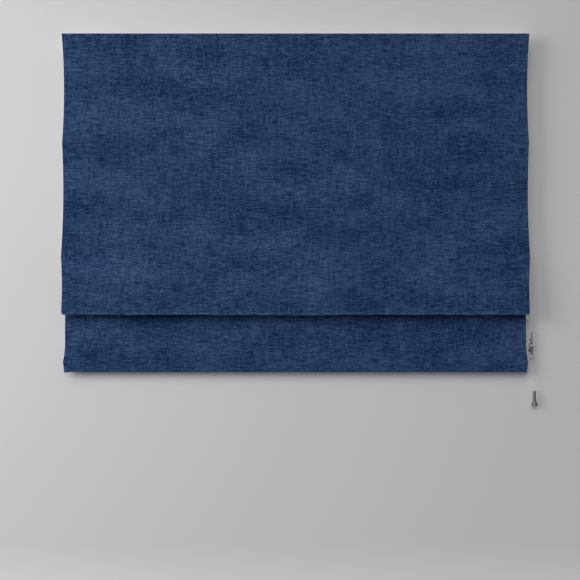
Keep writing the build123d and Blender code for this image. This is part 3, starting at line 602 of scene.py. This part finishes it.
@dataclass
class ClothRoute:
    """The way that the cloth takes from the headrail to its hem, and how wide and slack it is there."""

    thickness: float = 1.0 * MM
    pleat_drop: float = 149 * MM
    fold_front_radius: float = 2 * MM
    fold_back_radius: float = 6 * MM
    pleat_corner_width: float = 4.5 * MM
    pleat_corner_height: float = 18 * MM
    bend_radius: float = 60 * MM
    ridge_rise: float = 13 * MM
    ridge_radius: float = 2 * MM
    turn_flat: float = 1 * MM
    pocket_headroom: float = 3.5 * MM
    flap_bend: float = 3 * MM
    flap_slope: float = 6 * MM
    flap_seam: float = 8 * MM
    seam_gap: float = 0.2 * MM
    half_width: float = 600 * MM
    top_neck: float = 5.5 * MM
    middle_neck: float = 4.5 * MM
    pleat_neck: float = 3.0 * MM
    hem_neck: float = 5.0 * MM
    hem_flare: float = 44 * MM
    upper_inset: float = 1.0 * MM
    middle_outset: float = 2.0 * MM
    pleat_inset: float = 0.5 * MM
    bar_outset: float = 0.6 * MM
    hem_inset: float = 3.0 * MM
    fold_swell: float = 0.8 * MM
    fold_reach: float = 5 * MM
    corner_droop: float = 2.2 * MM
    corner_reach: float = 18 * MM
    spacing: float = 6 * MM
    # Rows crowd towards the corners by this share of their spacing
    crowding_share: float = 0.75
    arc_step: float = math.radians(15)
    fewest_arc_steps: int = 4
    panel_slack: float = 0.8 * MM
    pleat_slack: float = 1.8 * MM
    pleat_belly: float = 2.0 * MM
    # Each wave's share of the slack, its length in metres and its phase
    waves: tuple[Triple, ...] = (
        (0.50, 0.83, 0.4), (0.32, 0.41, 2.1), (0.22, 0.226, 4.0), (0.12, 0.118, 1.2),
    )
    # Over this many of its lengths in height, a wave moves on by one length
    wave_lean: float = 3.0

    def __post_init__(self) -> None:
        """Take the places of the cloth's held lines from the frame."""
        low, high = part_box("face_fabric")
        self.top = high.z
        self.hem_z = low.z
        self.pleat_y = low.y
        self.face_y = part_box("loop_tape")[0].y - self.thickness
        self.tape_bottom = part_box("loop_tape")[0].z
        upper, middle, lower = (middle_of(f"rod_{name}") for name in ("upper", "middle", "lower"))
        self.upper_z = upper.z
        self.middle_z = middle.z
        self.pleat_z = middle.z - self.pleat_drop
        self.ridge_z = lower.z + self.ridge_rise
        self.panel_y = lower.y - (upper.y - self.face_y)
        bar_low, bar_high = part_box("bottom_bar")
        self.bar_top = bar_high.z
        self.hem_width = bar_low.y + bar_high.y - 2 * self.panel_y
        self.pocket_top = bar_high.z + self.pocket_headroom
        self.flap_y = self.panel_y + 2 * self.thickness + self.seam_gap
        self.flap_top = self.pocket_top + self.flap_slope + self.flap_seam
        half_turned = self.pleat_z + self.fold_front_radius * (1 - math.sqrt(0.5))
        self.crease = next(station.length for station in self.stations() if station.z <= half_turned)

    def corners(self) -> list[tuple[float, float, float, Leg]]:
        """Corners of the route.

        Returns:
            For each corner its y, z, radius and the leg that follows.
        """
        ridge_half = self.ridge_radius + self.turn_flat / 2
        hem_radius = (self.hem_width - self.turn_flat) / 2
        pleat_back = self.pleat_y + self.fold_front_radius + self.turn_flat + self.fold_back_radius
        back = self.panel_y + self.hem_width
        return [
            (self.face_y, self.top, 0.0, Leg.PANEL),
            (self.face_y, self.middle_z, self.bend_radius, Leg.PANEL),
            (self.pleat_y, self.pleat_z, self.fold_front_radius, Leg.PANEL),
            (pleat_back, self.pleat_z, self.fold_back_radius, Leg.PLEAT_BACK),
            (self.panel_y - 2 * ridge_half, self.ridge_z, self.ridge_radius, Leg.PLEAT_BACK),
            (self.panel_y, self.ridge_z, self.ridge_radius, Leg.HEM),
            (self.panel_y, self.hem_z, hem_radius, Leg.FLAP),
            (back, self.hem_z, hem_radius, Leg.FLAP),
            (back, self.pocket_top, self.flap_bend, Leg.FLAP),
            (self.flap_y, self.pocket_top + self.flap_slope, self.flap_bend, Leg.FLAP),
            (self.flap_y, self.flap_top, 0.0, Leg.FLAP),
        ]

    def stations(self) -> list[Station]:
        """Walk the route, with its corners rounded.

        Returns:
            Stations from the cloth's top edge to the end of its flap.
        """
        corners = self.corners()
        places: list[tuple[Vector, Leg]] = [(Vector(corners[0][:2]), corners[0][3])]
        for index, (y, z, radius, leg) in enumerate(corners[1:], 1):
            corner = Vector((y, z))
            last_leg = corners[index - 1][3]
            came = (corner - Vector(corners[index - 1][:2])).normalized()
            arc = [corner]
            if radius:
                goes = (Vector(corners[index + 1][:2]) - corner).normalized()
                turn = came.angle_signed(goes)
                reach = radius * math.tan(abs(turn) / 2)
                centre = corner - came * reach + Vector((-came.y, came.x)) * math.copysign(radius, -turn)
                steps = max(self.fewest_arc_steps, math.ceil(abs(turn) / self.arc_step))
                spoke = corner - came * reach - centre
                arc = [centre + Matrix.Rotation(-turn * step / steps, 2) @ spoke for step in range(steps + 1)]
            start = places[-1][0]
            run = arc[0] - start
            count = max(1, round(run.length / self.spacing))
            places += [(start + run * self.crowded(step / count), last_leg) for step in range(1, count)]
            half_way = len(arc) // 2
            places += [(point, last_leg if step < half_way else leg) for step, point in enumerate(arc)]
        return self.measured(places)

    def crowded(self, share: float) -> float:
        """A share of a run, moved towards the run's nearer end."""
        return share - self.crowding_share * math.sin(2 * math.pi * share) / (2 * math.pi)

    def measured(self, places: Sequence[tuple[Vector, Leg]]) -> list[Station]:
        """Give each place its normal, towards the lining, and its length along the cloth.

        Args:
            places: Places along the route, each with its leg.

        Returns:
            A station for each place.
        """
        stations = []
        length = 0.0
        for index, (place, leg) in enumerate(places):
            before = places[max(0, index - 1)][0]
            after = places[min(len(places) - 1, index + 1)][0]
            way = (after - before).normalized()
            length += (place - before).length
            stations.append(Station(leg, place.x, place.y, (-way.y, way.x), length))
        return stations

    def edge(self, station: Station) -> float:
        """Find half the cloth's width, which draws in between the lines that are held.

        Args:
            station: Where along the cloth.

        Returns:
            The distance from the blind's middle to its side.
        """
        if station.leg in UPPER_LEGS:
            heights = (self.top, self.upper_z, self.middle_z, self.pleat_z)
            outsets = (0.0, -self.upper_inset, self.middle_outset, -self.pleat_inset)
            necks = (self.top_neck, self.middle_neck, self.pleat_neck)
        else:
            heights = (self.ridge_z, self.pleat_z, self.bar_top + self.hem_flare, self.bar_top, self.hem_z)
            outsets = (0.0, -self.hem_neck, -self.hem_neck, self.bar_outset, -self.hem_inset)
            # An arc that leaves a line smoothly stands a quarter of its drop inside its chord
            necks = (self.hem_neck / 4, 0.0, (self.hem_neck + self.bar_outset) / 4, 0.0)
        # The span that holds the station, or the last one for a station below them all
        spans = range(len(necks))
        span = next((index for index in spans if station.z >= heights[index + 1]), spans[-1])
        top, bottom = heights[span:span + 2]
        above, below = outsets[span:span + 2]
        share = clamp((top - station.z) / (top - bottom))
        drawn = (below - above) * share - 4 * necks[span] * share * (1 - share)
        return self.half_width + above + drawn - self.corner_inset(station)

    def corner_inset(self, station: Station) -> float:
        """Find how far the pleat's rounded ends stand inside its sides.

        Args:
            station: Where along the cloth.

        Returns:
            The distance inwards.
        """
        if station.leg not in UPPER_LEGS:
            return 0.0
        into = clamp(1 - (station.z - self.pleat_z) / self.pleat_corner_height)
        return self.pleat_corner_width * (1 - math.sqrt(1 - into * into))

    def drape(self, station: Station, x: float) -> float:
        """Find how far the cloth stands off its route, in soft waves.

        Args:
            station: Where along the cloth.
            x: Where across it.

        Returns:
            The distance off the route, towards the lining.
        """
        z = station.z
        wave = sum(
            size * math.sin(2 * math.pi * x / reach + phase + z * 2 * math.pi / reach / self.wave_lean)
            for size, reach, phase in self.waves
        )
        if station.leg == Leg.PANEL and z > self.middle_z:
            start, end = self.upper_z, self.middle_z
            if z > self.upper_z:
                start, end = self.tape_bottom, self.upper_z
            return wave * self.panel_slack * math.sin(math.pi * clamp((start - z) / (start - end)))
        if station.leg in UPPER_LEGS:
            share = clamp((self.middle_z - z) / (self.middle_z - self.pleat_z))
            held = share * share
            belly = self.pleat_belly * math.sin(math.pi * share) if station.leg == Leg.PANEL else 0.0
            swell = self.fold_swell * math.exp(-((station.length - self.crease) / self.fold_reach) ** 2)
            facing = 1 if station.leg == Leg.PANEL else -1
            return wave * self.pleat_slack * held * facing - belly - swell
        if station.leg == Leg.HEM:
            share = clamp((self.ridge_z - z) / (self.ridge_z - self.bar_top))
            return wave * self.panel_slack * math.sin(math.pi * share)
        return 0.0

    def lift(self, station: Station, x: float) -> float:
        """Find how far the cloth is lifted, where the hem's corners hang down.

        Args:
            station: Where along the cloth.
            x: Where across it.

        Returns:
            The distance upwards.
        """
        if station.leg in UPPER_LEGS:
            return 0.0
        reach = self.edge(station)
        outward = ease(abs(x), reach - self.corner_reach, reach)
        return -self.corner_droop * outward * ease(station.z, self.bar_top, self.hem_z)

    def point(self, station: Station, x: float, depth: float) -> Vector:
        """Find a point of the cloth in space.

        Args:
            station: Where along the cloth.
            x: Where across it.
            depth: How far behind its visible side.

        Returns:
            The point's place.
        """
        off = depth + self.drape(station, x)
        y = station.y + station.normal[0] * off
        z = station.z + station.normal[1] * off + self.lift(station, x)
        return Vector((x, y, z))


def woven_sheet(name: str, rows: Sequence[Sequence[tuple[Vector, float, float]]], thickness: float) -> Piece:
    """Make a sheet of cloth from rows of points that carry their place on the flat cloth.

    Args:
        name: The piece's name.
        rows: Rows of points, each with its place across and along the flat cloth.
        thickness: The cloth's thickness, half to each side of the points.

    Returns:
        The sheet, with its thickness and its flat map.
    """
    width = len(rows[0])
    points = [point for row in rows for point, _, _ in row]
    flat = [(across, along) for row in rows for _, across, along in row]
    faces = []
    for row in range(len(rows) - 1):
        for column in range(width - 1):
            first = row * width + column
            faces.append((first, first + width, first + width + 1, first + 1))
    sheet = mesh_object(name, points, faces)
    layer = sheet.data.uv_layers.new(name=FLAT_MAP)
    corners = [flat[loop.vertex_index] for loop in sheet.data.loops]
    layer.data.foreach_set("uv", [value for corner in corners for value in corner])
    deselect()
    bpy.context.view_layer.objects.active = sheet
    sheet.select_set(True)
    modifier = sheet.modifiers.new("Solidify", "SOLIDIFY")
    modifier.thickness = thickness
    modifier.offset = 0.0
    bpy.ops.object.modifier_apply(modifier=modifier.name)
    return sheet


@dataclass
class FaceCloth:
    """The face cloth: one folded sheet, with its sides turned in to the back."""

    route: ClothRoute
    thickness: float = 0.8 * MM
    front_depth: float = 0.45 * MM
    back_depth: float = 1.5 * MM
    turn_width: float = 22 * MM
    top_turn: float = 10 * MM
    hem_turn: float = 2 * MM
    # The turn-in narrows from the first to the second of these distances below the tape
    narrowing: tuple[float, float] = (8 * MM, 2 * MM)
    # Where the painted highlight lies above the crease, and how far it reaches
    highlight_above: float = 2.5 * MM
    highlight_reach: float = 2.8 * MM
    edge_band: float = 12 * MM
    edge_columns: int = 10
    front_columns: int = 120
    turn_columns: int = 4
    fold_steps: int = 4

    def turn_at(self, station: Station) -> float:
        """Find the width of the side turn-in, which is narrow at the tape and in the hem's pocket.

        Args:
            station: Where along the cloth.

        Returns:
            The width of the turn-in there.
        """
        if station.leg == Leg.FLAP:
            return self.hem_turn
        if station.leg == Leg.HEM:
            below = ease(station.z, self.route.flap_top, self.route.bar_top)
            return self.turn_width + (self.hem_turn - self.turn_width) * below
        if station.leg == Leg.PANEL and station.z > self.route.upper_z:
            start, end = (self.route.tape_bottom - distance for distance in self.narrowing)
            return self.turn_width + (self.top_turn - self.turn_width) * ease(station.z, start, end)
        return self.turn_width

    def columns(self, station: Station) -> list[Triple]:
        """Places across the cloth at a station.

        Args:
            station: Where along the cloth.

        Returns:
            From left to right: x, depth behind the visible side, and place across the flat cloth.
        """
        half = self.route.edge(station)
        turn = self.turn_at(station)
        radius = (self.back_depth - self.front_depth) / 2
        middle = (self.back_depth + self.front_depth) / 2
        bend = math.pi * radius
        right = []
        for step in range(1, self.fold_steps):
            angle = math.pi * step / self.fold_steps
            right.append((
                half - radius + radius * math.sin(angle), middle - radius * math.cos(angle),
                half - radius + bend * step / self.fold_steps,
            ))
        for step in range(self.turn_columns + 1):
            along = turn * step / self.turn_columns
            right.append((half - radius - along, self.back_depth, half - radius + bend + along))
        left = [(-x, depth, -across) for x, depth, across in reversed(right)]
        inner = half - radius - self.edge_band
        band = [inner + self.edge_band * step / self.edge_columns for step in range(1, self.edge_columns + 1)]
        across = [-x for x in reversed(band)]
        across += [inner * (2 * column / self.front_columns - 1) for column in range(self.front_columns + 1)]
        across += band
        return left + [(x, self.front_depth, x) for x in across] + right

    def painted_fold_highlight(self, sheet: Piece) -> None:
        """Mark the cloth along the pleat's crease, where a highlight is painted on the fold's edge.

        Args:
            sheet: The face cloth.
        """
        # The painted highlight is strongest just above the crease and fades to either side
        mark = sheet.data.attributes.new(PAINTED_FOLD_HIGHLIGHT, "FLOAT", "POINT")
        middle = self.route.crease - self.highlight_above
        for loop, place in zip(sheet.data.loops, sheet.data.uv_layers[FLAT_MAP].data):
            off = (-place.uv.y - middle) / self.highlight_reach
            mark.data[loop.vertex_index].value = math.exp(-off * off)

    def build(self) -> None:
        rows = []
        widest = 0.0
        stations = self.route.stations()
        for index, station in enumerate(stations):
            row = [
                (self.route.point(station, x, depth), across, -station.length)
                for x, depth, across in self.columns(station)
            ]
            rows.append(row)
            width = row[-1][1] - row[0][1]
            widest = max(widest, width)
        sheet = woven_sheet("face_cloth", rows, self.thickness)
        self.painted_fold_highlight(sheet)
        settle(sheet, Slot.FACE, "face_fabric")


@dataclass
class Lining:
    """The lining: one sheet behind the face, from under the tape to the hem's flap."""

    route: ClothRoute
    thickness: float = 0.4 * MM
    depth: float = 1.45 * MM
    below_tape: float = 2 * MM
    above_flap: float = 0.4 * MM
    edge_inset: float = 22.2 * MM
    column_count: int = 110

    def covers(self, station: Station) -> bool:
        """Find whether the lining lies behind the face.

        Args:
            station: Where along the cloth.

        Returns:
            True where it does.
        """
        if station.leg == Leg.FLAP or station.z > self.route.tape_bottom - self.below_tape:
            return False
        return station.leg != Leg.HEM or station.z >= self.route.flap_top + self.above_flap

    def build(self) -> None:
        covered = [station for station in self.route.stations() if self.covers(station)]
        half = self.route.half_width - self.edge_inset
        across = [half * (2 * column / self.column_count - 1) for column in range(self.column_count + 1)]
        rows = [
            [(self.route.point(station, x, self.depth), x, -station.length) for x in across]
            for station in covered
        ]
        sheet = woven_sheet("lining_cloth", rows, self.thickness)
        settle(sheet, Slot.LINING, "lining")


@dataclass
class Stitching:
    """Sewing thread that shows: the hem's seam, the rod pockets' seams and the side slip stitches."""

    route: ClothRoute
    face: FaceCloth
    thread: float = 0.5 * MM
    length: float = 3.0 * MM
    pitch: float = 4.5 * MM
    slip_pitch: float = 12 * MM
    slip_slant: float = math.radians(20)
    below_tape: float = 10 * MM
    seam_inset: float = 14 * MM
    pocket_seam: float = 2.5 * MM
    hem_seam: float = 4 * MM
    segments: int = 6
    rings: int = 4

    def stitch(self) -> Piece:
        """Make one stitch of thread.

        Returns:
            A ball drawn out along X.
        """
        deselect()
        bpy.ops.mesh.primitive_uv_sphere_add(
            segments=self.segments, ring_count=self.rings, radius=self.thread / 2,
        )
        return reshape(math.pi / 2, "Y", stretch=(self.length / self.thread, 1.0, 1.0))

    def level_row(self, name: str, half: float, y: float, z: float, slot: Slot) -> None:
        """Sew a row of machine stitches along X.

        Args:
            name: The new piece's name.
            half: Half the row's length.
            y: The row's depth.
            z: The row's height.
            slot: The slot that the thread takes its finish from.
        """
        count = int(2 * half / self.pitch)
        places = [Matrix.Translation((-half + (index + 0.5) * self.pitch, y, z)) for index in range(count)]
        settle(repeat(name, self.stitch(), places), slot)

    def build(self) -> None:
        """Sew the hem, the rod pockets and the sides."""
        route = self.route
        half = route.half_width - self.seam_inset
        seam_z = route.flap_top - self.hem_seam
        self.level_row("hem_stitches", half, route.flap_y + self.thread / 4, seam_z, Slot.FACE)
        for name in ("upper", "middle", "lower"):
            low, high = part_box(f"rod_tape_{name}")
            seam_z = high.z - self.pocket_seam
            self.level_row(f"pocket_stitches_{name}", high.x, low.y + self.thread, seam_z, Slot.TAPE)
        places = []
        due = 0.0
        for station in route.stations():
            under_tape = station.z <= route.tape_bottom - self.below_tape
            in_hem = station.leg == Leg.FLAP or (station.leg == Leg.HEM and station.z < route.flap_top)
            if station.length < due or in_hem or not under_tape:
                continue
            due = station.length + self.slip_pitch
            for side in (-1, 1):
                x = side * (route.edge(station) - self.face.turn_width)
                place = route.point(station, x, self.face.back_depth + self.face.thickness / 2)
                places.append(Matrix.Translation(place) @ Matrix.Rotation(self.slip_slant, 4, "Y"))
        settle(repeat("side_stitches", self.stitch(), places), Slot.FACE)


@dataclass
class RingThreads:
    """The thread that whips each cord ring to the cloth."""

    wire: float = 1.0 * MM
    ring_radius: float = 5.5 * MM
    wrap_radius: float = 5.95 * MM
    lane_pitch: float = 2.2 * MM
    thread: float = 0.5 * MM
    turns: int = 4
    major_segments: int = 16
    minor_segments: int = 6

    def loop(self) -> Piece:
        """Make one loop of thread round a ring's wire.

        Returns:
            A loop about X.
        """
        deselect()
        bpy.ops.mesh.primitive_torus_add(
            major_radius=self.wire + self.thread / 2, minor_radius=self.thread / 2,
            major_segments=self.major_segments, minor_segments=self.minor_segments,
        )
        return reshape(math.pi / 2, "Y")

    def build(self) -> None:
        """Whip the level rings at their front and the hanging rings at their foot."""
        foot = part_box("cord_rings")[0].z + self.wire
        places = []
        for lane, name in enumerate(("left", "centre", "right"), -1):
            roller = middle_of(f"guide_roller_{name}")
            x = roller.x - self.wrap_radius
            spots = [Vector((x, roller.y + lane * self.lane_pitch, foot))]
            for rod in ("upper", "middle"):
                spots.append(Vector((x, roller.y - self.ring_radius, middle_of(f"rod_{rod}").z)))
            for spot in spots:
                for turn in range(self.turns):
                    along = (turn - (self.turns - 1) / 2) * self.thread
                    places.append(Matrix.Translation(spot + Vector((along, 0, 0))))
        settle(repeat("ring_threads", self.loop(), places), Slot.TAPE)


@dataclass
class DrawCord:
    """The draw cord: out of the joiner, in a figure of eight on the cleat, and down to its acorn."""

    diameter: float = 2.0 * MM
    bore_depth: float = 11 * MM
    straight_end: float = 12 * MM
    acorn_crown: float = 5 * MM
    acorn_length: float = 36.5 * MM
    knot: float = 4.0 * MM
    # The knot's size over the radius of its loop, and over the radius of the cord in it
    knot_over_loop: float = 4.0
    knot_over_cord: float = 4.2
    knot_segments: int = 20
    knot_sides: int = 12
    knot_tilt: float = math.radians(24)
    carriers: int = 4
    braid_pitch: float = 4.4 * MM
    braid_depth_share: float = 0.09
    sides: int = 16
    step: float = 0.45 * MM
    shortest_step_share: float = 0.25
    resolution: int = 16
    spline_order: int = 3
    # Places on the cleat, from the middle of its foot: out, forward and up, in millimetres
    wound: tuple[Triple, ...] = (
        (-4.6, 5.0, 10.0), (-4.4, 4.2, -3.5), (-4.4, 4.2, -9.5), (0.0, 4.2, -12.1), (4.4, 4.6, -9.5),
        (4.8, 9.6, -6.2), (4.6, 15.0, -3.4), (2.4, 17.7, -0.9), (-2.4, 17.7, 0.9), (-4.6, 15.0, 3.4),
        (-4.8, 9.8, 6.2), (-4.4, 7.8, 9.6), (0.0, 7.6, 12.2), (4.4, 7.8, 9.6), (4.8, 9.8, 6.2),
        (4.8, 15.4, 4.0), (2.6, 20.0, 1.6), (-2.6, 20.0, -1.6), (-4.8, 15.4, -4.0), (-4.8, 9.8, -6.6),
        (-4.2, 7.8, -10.2), (0.4, 7.8, -13.4), (5.4, 8.4, -17.6), (7.6, 10.2, -26.0),
    )

    def route(self) -> list[Vector]:
        """Lead the cord through its fittings.

        Returns:
            Control points from inside the joiner to inside the acorn.
        """
        low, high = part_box("cleat")
        foot = Vector(((low.x + high.x) / 2, 0.0, (low.z + high.z) / 2))
        wound = [foot + Vector((out, -forward, up)) * MM for out, forward, up in self.wound]
        low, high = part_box("acorn")
        top = Vector(((low.x + high.x) / 2, (low.y + high.y) / 2, high.z))
        mouth_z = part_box("draw_cord")[1].z - self.bore_depth
        start = middle_of("cord_joiner")
        way = (wound[0] - start).normalized()
        mouth = start + way * ((mouth_z - start.z) / way.z)
        inside = mouth - way * self.bore_depth
        straight = wound[0] - way * self.straight_end
        knot = top - Vector((0, 0, self.acorn_crown + self.knot / 2))
        return [inside, straight] + wound + [top + Vector((0, 0, self.acorn_length)), knot]

    def line(self) -> list[Vector]:
        """Draw a smooth spline with the route as its control points.

        Returns:
            Evenly spaced points along the cord's middle.
        """
        curve = bpy.data.curves.new("route", "CURVE")
        curve.dimensions = "3D"
        curve.resolution_u = self.resolution
        spline = curve.splines.new("NURBS")
        route = self.route()
        spline.points.add(len(route) - 1)
        for place, point in zip(spline.points, route):
            place.co = (*point, 1.0)
        spline.order_u = self.spline_order
        spline.use_endpoint_u = True
        holder = new_object("route", curve)
        mesh = bpy.data.meshes.new_from_object(holder)
        points = [vertex.co.copy() for vertex in mesh.vertices]
        bpy.data.objects.remove(holder)
        bpy.data.meshes.remove(mesh)
        bpy.data.curves.remove(curve)
        return self.evened(points)

    def evened(self, line: Sequence[Vector]) -> list[Vector]:
        """Space a line's points evenly.

        Args:
            line: Points along the line.

        Returns:
            Points a step apart along the same line, and its end.
        """
        made = [line[0]]
        left = self.step
        for start, end in zip(line, line[1:]):
            run = (end - start).length
            while left <= run:
                made.append(start + (end - start) * (left / run))
                left += self.step
            left -= run
        if (line[-1] - made[-1]).length > self.step * self.shortest_step_share:
            made.append(line[-1])
        return made

    def ring(self, centre: Vector, across: Vector, up: Vector, along: float) -> list[Vector]:
        """Make one ring of the tube, pressed in where the carriers cross.

        Args:
            centre: The ring's middle.
            across: One direction square to the cord.
            up: The other direction square to the cord.
            along: The length of cord up to here.

        Returns:
            The ring's points.
        """
        points = []
        turn = 2 * math.pi * along / self.braid_pitch
        for side in range(self.sides):
            angle = 2 * math.pi * side / self.sides
            crest = max(math.sin(self.carriers * angle + turn), math.sin(self.carriers * angle - turn))
            radius = self.diameter / 2 * (1 - self.braid_depth_share * (1 - crest) / 2)
            points.append(centre + (across * math.cos(angle) + up * math.sin(angle)) * radius)
        return points

    def build(self) -> None:
        line = self.line()
        points: list[Vector] = []
        faces: list[tuple[int, ...]] = []
        across = (line[1] - line[0]).orthogonal().normalized()
        along = 0.0
        for index, centre in enumerate(line):
            way = (line[min(index + 1, len(line) - 1)] - line[max(index - 1, 0)]).normalized()
            across = (across - way * across.dot(way)).normalized()
            along += (centre - line[max(index - 1, 0)]).length
            points += self.ring(centre, across, way.cross(across), along)
        last = len(points) - self.sides
        for first in range(0, last, self.sides):
            for side in range(self.sides):
                after = (side + 1) % self.sides
                beyond = first + self.sides
                faces.append((first + side, first + after, beyond + after, beyond + side))
        faces.append(tuple(reversed(range(self.sides))))
        faces.append(tuple(range(last, last + self.sides)))
        cord = mesh_object("draw_cord_braid", points, faces)
        settle(cord, Slot.CORD, "draw_cord")
        knot = self.tied_knot(line[-1])
        LOG.info("draw cord is %.3f m long", along)

    def tied_knot(self, place: Vector) -> Piece:
        """Tie the overhand knot that stops the acorn: a turned loop of the same cord.

        Args:
            place: The cord's end.

        Returns:
            The knot.
        """
        deselect()
        bpy.ops.mesh.primitive_torus_add(
            major_radius=self.knot / self.knot_over_loop, minor_radius=self.knot / self.knot_over_cord,
            major_segments=self.knot_segments, minor_segments=self.knot_sides,
        )
        made = reshape(self.knot_tilt, "X", move=place)
        made.name = "draw_cord_knot"
        bpy.ops.object.shade_smooth()
        return settle(made, Slot.CORD)


@dataclass(frozen=True)
class Lamp:
    """A soft lamp: its kind in Blender's words, and the attribute that makes it soft."""

    name: str
    kind: str
    place: Triple
    power: float
    softness: tuple[str, float]

    def build(self, aim: Triple) -> None:
        """Add the lamp, out of the camera's sight.

        Args:
            aim: The point that it is turned towards.
        """
        light = bpy.data.lights.new(self.name, self.kind)
        light.energy = self.power
        setattr(light, *self.softness)
        holder = new_object(self.name, light)
        holder.location = self.place
        holder.rotation_euler = (Vector(aim) - Vector(self.place)).to_track_quat("-Z", "Y").to_euler()
        holder.visible_camera = False


@dataclass
class Studio:
    """Pale backdrop and floor, soft light from above and from the left, and the camera."""

    camera_place: Triple = (-0.0142, -2.744, -0.6384)
    lens: float = 65.3
    sensor: float = 36.0
    paint: Finish = BackdropPaint("matt_backdrop_paint", "#d7d6d7", 0.9)
    backdrop_top: float = 3.0
    floor_z: float = -1.6
    floor_reach: float = 12.0
    half_width: float = 12.0
    cove: float = 0.3
    cove_steps: int = 10
    world_colour: str = "#dfe1e4"
    world_bright_way: Triple = (-0.6, -0.2, 0.77)
    # How far a way faces the bright one where the world is at its weakest and at its strongest
    world_facing: tuple[float, float] = (-0.6, 0.8)
    world_strengths: tuple[float, float] = (0.13, 0.40)
    aim: Triple = (0.0, 0.0, -0.45)
    lamps: tuple[Lamp, ...] = (
        Lamp("sky", "SUN", (-0.7, -3.0, 1.65), 1.0, ("angle", math.radians(45))),
        Lamp("key", "AREA", (-2.4, -1.8, 0.1), 44.5, ("size", 1.6)),
        Lamp("back", "AREA", (0.6, 2.4, 0.9), 60.0, ("size", 2.0)),
    )

    def backdrop(self) -> None:
        """Build the backdrop and floor as one sheet with a rounded corner, and the floor behind it."""
        profile = [(0.0, self.backdrop_top)]
        for step in range(self.cove_steps + 1):
            angle = math.pi / 2 * step / self.cove_steps
            y = -self.cove + self.cove * math.cos(angle)
            profile.append((y, self.floor_z + self.cove - self.cove * math.sin(angle)))
        profile.append((-self.floor_reach, self.floor_z))
        behind = [(self.floor_reach, self.floor_z), (-self.cove, self.floor_z)]
        points = [(x, y, z) for y, z in profile + behind for x in (-self.half_width, self.half_width)]
        rows = [*range(len(profile) - 1), len(profile)]
        faces = [(2 * row, 2 * row + 2, 2 * row + 3, 2 * row + 1) for row in rows]
        sheet = mesh_object("backdrop", points, faces)
        sheet.data.materials.append(self.paint.material())
        sheet.visible_shadow = False
        sheet.visible_diffuse = False

    def world(self) -> None:
        """Light from all round, strongest from the upper left."""
        made = bpy.data.worlds.new("studio")
        made.use_nodes = True
        tree = made.node_tree
        way = add_node(tree, "TexCoord").outputs["Generated"]
        facing = add_node(tree, "VectorMath", {0: way, 1: self.world_bright_way},
                          operation="DOT_PRODUCT").outputs["Value"]
        strength = add_node(tree, "MapRange", {
            "Value": facing, "From Min": self.world_facing[0], "From Max": self.world_facing[1],
            "To Min": self.world_strengths[0], "To Max": self.world_strengths[1],
        }, interpolation_type="SMOOTHSTEP").outputs["Result"]
        feed(tree, tree.nodes["Background"], {"Color": linear(self.world_colour), "Strength": strength})
        bpy.context.scene.world = made

    def camera(self) -> None:
        """Add the camera, level and square to the blind."""
        data = bpy.data.cameras.new("camera")
        data.lens = self.lens
        data.sensor_width = self.sensor
        holder = new_object("camera", data)
        holder.location = self.camera_place
        holder.rotation_euler = (math.pi / 2, 0.0, 0.0)
        bpy.context.scene.camera = holder

    def build(self) -> None:
        """Set the stage."""
        bpy.context.scene.view_settings.view_transform = "Standard"
        self.backdrop()
        self.world()
        self.camera()
        for lamp in self.lamps:
            lamp.build(self.aim)


def dress_nodes() -> None:
    """Give each solid of the frame the finish of its slot, or its own."""
    for subpart in frame["record"]["subparts"]:
        node = frame["nodes"][subpart["node"]]
        node.data.materials.clear()
        finish = NODE_FINISHES.get(subpart["node"], FINISHES[Slot(subpart["material_slot"])])
        node.data.materials.append(finish.material())


def main() -> None:
    """Dress the blind and set the stage."""
    logging.basicConfig(level=logging.INFO, format="%(name)s: %(message)s")
    deselect()
    Studio().build()
    dress_nodes()
    DrawCord().build()
    route = ClothRoute()
    face = FaceCloth(route)
    face.build()
    Lining(route).build()
    Stitching(route, face).build()
    RingThreads().build()


if __name__ == "__main__":
    main()
